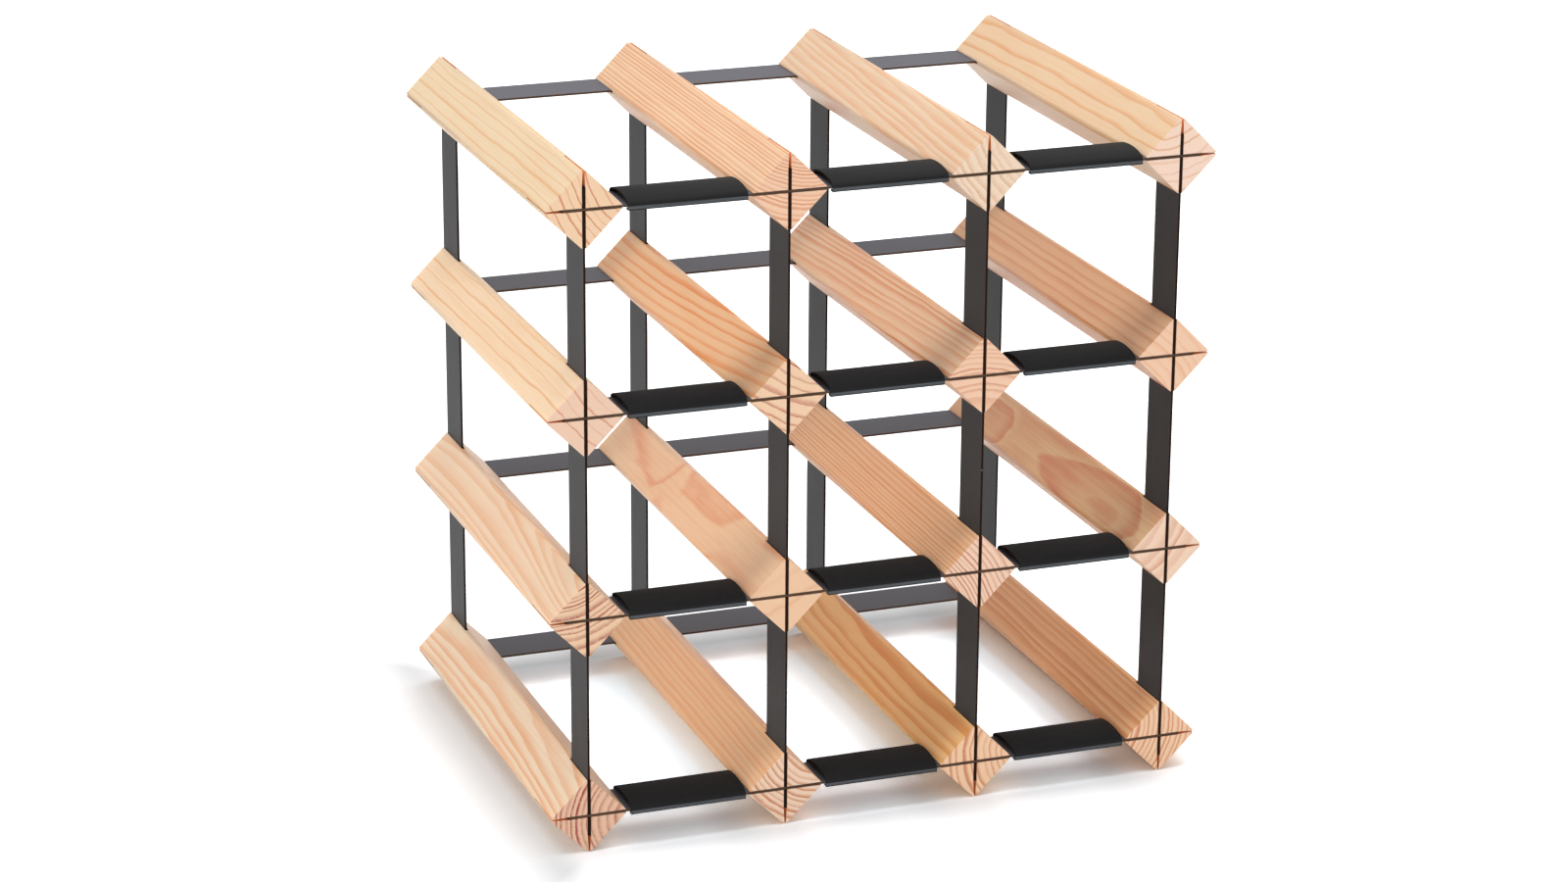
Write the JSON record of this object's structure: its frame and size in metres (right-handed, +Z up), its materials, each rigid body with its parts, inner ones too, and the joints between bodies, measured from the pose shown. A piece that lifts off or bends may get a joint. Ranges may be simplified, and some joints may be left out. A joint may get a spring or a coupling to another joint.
{
  "type": "wine rack",
  "caption": "Open bottle rack of square wooden bars laid on edge in a grid, joined at both ends by flat black metal strips, with plastic neck covers along the front.",
  "frame": {"origin": "on the floor, under the middle of the rack's width and depth", "axes": "+Z up, front with the neck covers towards -Y, +X to the right seen from the front"},
  "size_m": [0.3236, 0.2292, 0.3236],
  "materials": {
    "pine": "planed, unfinished",
    "black_steel": "satin black",
    "black_plastic": "fine satin"
  },
  "bodies": {
    "root": {"bar_row1_col1": "pine", "bar_row1_col2": "pine", "bar_row1_col3": "pine", "bar_row1_col4": "pine", "bar_row2_col1": "pine", "bar_row2_col2": "pine", "bar_row2_col3": "pine", "bar_row2_col4": "pine", "bar_row3_col1": "pine", "bar_row3_col2": "pine", "bar_row3_col3": "pine", "bar_row3_col4": "pine", "bar_row4_col1": "pine", "bar_row4_col2": "pine", "bar_row4_col3": "pine", "bar_row4_col4": "pine", "front_rail_1": "black_steel", "front_rail_2": "black_steel", "front_rail_3": "black_steel", "front_rail_4": "black_steel", "front_upright_1": "black_steel", "front_upright_2": "black_steel", "front_upright_3": "black_steel", "front_upright_4": "black_steel", "back_rail_1": "black_steel", "back_rail_2": "black_steel", "back_rail_3": "black_steel", "back_rail_4": "black_steel", "back_upright_1": "black_steel", "back_upright_2": "black_steel", "back_upright_3": "black_steel", "back_upright_4": "black_steel", "neck_cover_row1_cell1": "black_plastic", "neck_cover_row1_cell2": "black_plastic", "neck_cover_row1_cell3": "black_plastic", "neck_cover_row2_cell1": "black_plastic", "neck_cover_row2_cell2": "black_plastic", "neck_cover_row2_cell3": "black_plastic", "neck_cover_row3_cell1": "black_plastic", "neck_cover_row3_cell2": "black_plastic", "neck_cover_row3_cell3": "black_plastic", "neck_cover_row4_cell1": "black_plastic", "neck_cover_row4_cell2": "black_plastic", "neck_cover_row4_cell3": "black_plastic"}
  },
  "joints": []
}
